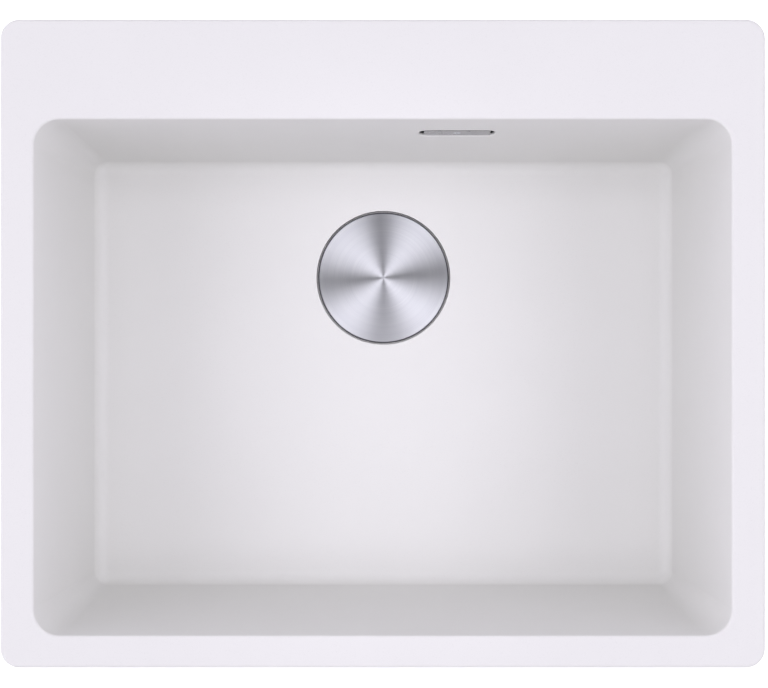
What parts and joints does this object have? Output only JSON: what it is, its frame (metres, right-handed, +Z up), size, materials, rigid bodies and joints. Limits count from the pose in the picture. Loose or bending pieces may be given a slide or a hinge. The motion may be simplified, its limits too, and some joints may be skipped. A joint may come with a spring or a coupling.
{
  "type": "kitchen sink",
  "caption": "Inset rectangular composite sink with tap ledge, wall overflow, lift-out strainer under a flush round cover, and swing-out worktop clamps.",
  "frame": {"origin": "centre of the rim's outline, in the plane of the worktop's upper face, which is the rim's underside", "axes": "+X to the right of a person who stands at the sink, +Y to the rear where the tap ledge is, +Z up"},
  "size_m": [0.59, 0.5, 0.2878],
  "materials": {
    "composite": "fine matt granite composite, white",
    "brushed_steel": "concentric brushed stainless steel",
    "pressed_steel": "satin pressed stainless steel",
    "zinc_steel": "bright zinc plating",
    "brass": "turned, unplated",
    "seal_rubber": "matt black",
    "white_plastic": "moulded, fine matt",
    "grey_plastic": "moulded, fine matt"
  },
  "bodies": {
    "root": {"basin": "composite", "overflow_cover": "pressed_steel", "overflow_cover_screw": "zinc_steel", "overflow_gasket": "seal_rubber", "overflow_housing": "grey_plastic", "overflow_housing_screws": "zinc_steel", "overflow_pipe": "white_plastic", "upper_union_nut": "white_plastic", "upper_union_seal": "seal_rubber", "lower_union_nut": "white_plastic", "lower_union_seal": "seal_rubber", "waste_flange": "pressed_steel", "flange_seal": "seal_rubber", "lower_seal": "seal_rubber", "waste_body": "grey_plastic", "waste_screw": "zinc_steel", "waste_nut": "brass", "clamp_inserts": "brass"},
    "basket": {"strainer_basket": "pressed_steel", "basket_stem": "pressed_steel", "basket_plug": "seal_rubber", "stem_nut": "zinc_steel"},
    "cover": {"cover_plate": "brushed_steel", "cover_post": "pressed_steel"},
    "screw_right_front": {"clamp_screw_right_front": "zinc_steel"},
    "jaw_right_front": {"clamp_jaw_right_front": "zinc_steel"},
    "screw_right_rear": {"clamp_screw_right_rear": "zinc_steel"},
    "jaw_right_rear": {"clamp_jaw_right_rear": "zinc_steel"},
    "screw_left_front": {"clamp_screw_left_front": "zinc_steel"},
    "jaw_left_front": {"clamp_jaw_left_front": "zinc_steel"},
    "screw_left_rear": {"clamp_screw_left_rear": "zinc_steel"},
    "jaw_left_rear": {"clamp_jaw_left_rear": "zinc_steel"},
    "screw_front_right": {"clamp_screw_front_right": "zinc_steel"},
    "jaw_front_right": {"clamp_jaw_front_right": "zinc_steel"},
    "screw_front_left": {"clamp_screw_front_left": "zinc_steel"},
    "jaw_front_left": {"clamp_jaw_front_left": "zinc_steel"},
    "screw_rear_right": {"clamp_screw_rear_right": "zinc_steel"},
    "jaw_rear_right": {"clamp_jaw_rear_right": "zinc_steel"},
    "screw_rear_left": {"clamp_screw_rear_left": "zinc_steel"},
    "jaw_rear_left": {"clamp_jaw_rear_left": "zinc_steel"}
  },
  "joints": [
    {"name": "basket_lift", "type": "slide", "parent": "root", "child": "basket", "axis": [0, 0, 1], "range_m": [0, 0.26]},
    {"name": "cover_lift", "type": "slide", "parent": "basket", "child": "cover", "axis": [0, 0, 1], "range_m": [0, 0.25]},
    {"name": "clamp_draw_right_front", "type": "slide", "parent": "root", "child": "screw_right_front", "axis": [0, 0, 1], "range_m": [0, 0.014]},
    {"name": "jaw_swing_right_front", "type": "hinge", "parent": "screw_right_front", "child": "jaw_right_front", "pos_m": [0.2805, -0.126, -0.047], "axis": [0, 0, 1], "range_deg": [0, 90]},
    {"name": "clamp_draw_right_rear", "type": "slide", "parent": "root", "child": "screw_right_rear", "axis": [0, 0, 1], "range_m": [0, 0.014]},
    {"name": "jaw_swing_right_rear", "type": "hinge", "parent": "screw_right_rear", "child": "jaw_right_rear", "pos_m": [0.2805, 0.074, -0.047], "axis": [0, 0, 1], "range_deg": [0, 90]},
    {"name": "clamp_draw_left_front", "type": "slide", "parent": "root", "child": "screw_left_front", "axis": [0, 0, 1], "range_m": [0, 0.014]},
    {"name": "jaw_swing_left_front", "type": "hinge", "parent": "screw_left_front", "child": "jaw_left_front", "pos_m": [-0.2805, -0.126, -0.047], "axis": [0, 0, 1], "range_deg": [-90, 0]},
    {"name": "clamp_draw_left_rear", "type": "slide", "parent": "root", "child": "screw_left_rear", "axis": [0, 0, 1], "range_m": [0, 0.014]},
    {"name": "jaw_swing_left_rear", "type": "hinge", "parent": "screw_left_rear", "child": "jaw_left_rear", "pos_m": [-0.2805, 0.074, -0.047], "axis": [0, 0, 1], "range_deg": [-90, 0]},
    {"name": "clamp_draw_front_right", "type": "slide", "parent": "root", "child": "screw_front_right", "axis": [0, 0, 1], "range_m": [0, 0.014]},
    {"name": "jaw_swing_front_right", "type": "hinge", "parent": "screw_front_right", "child": "jaw_front_right", "pos_m": [0.149, -0.2355, -0.047], "axis": [0, 0, 1], "range_deg": [0, 90]},
    {"name": "clamp_draw_front_left", "type": "slide", "parent": "root", "child": "screw_front_left", "axis": [0, 0, 1], "range_m": [0, 0.014]},
    {"name": "jaw_swing_front_left", "type": "hinge", "parent": "screw_front_left", "child": "jaw_front_left", "pos_m": [-0.149, -0.2355, -0.047], "axis": [0, 0, 1], "range_deg": [-90, 0]},
    {"name": "clamp_draw_rear_right", "type": "slide", "parent": "root", "child": "screw_rear_right", "axis": [0, 0, 1], "range_m": [0, 0.014]},
    {"name": "jaw_swing_rear_right", "type": "hinge", "parent": "screw_rear_right", "child": "jaw_rear_right", "pos_m": [0.189, 0.2355, -0.047], "axis": [0, 0, 1], "range_deg": [-90, 0]},
    {"name": "clamp_draw_rear_left", "type": "slide", "parent": "root", "child": "screw_rear_left", "axis": [0, 0, 1], "range_m": [0, 0.014]},
    {"name": "jaw_swing_rear_left", "type": "hinge", "parent": "screw_rear_left", "child": "jaw_rear_left", "pos_m": [-0.189, 0.2355, -0.047], "axis": [0, 0, 1], "range_deg": [0, 90]}
  ]
}
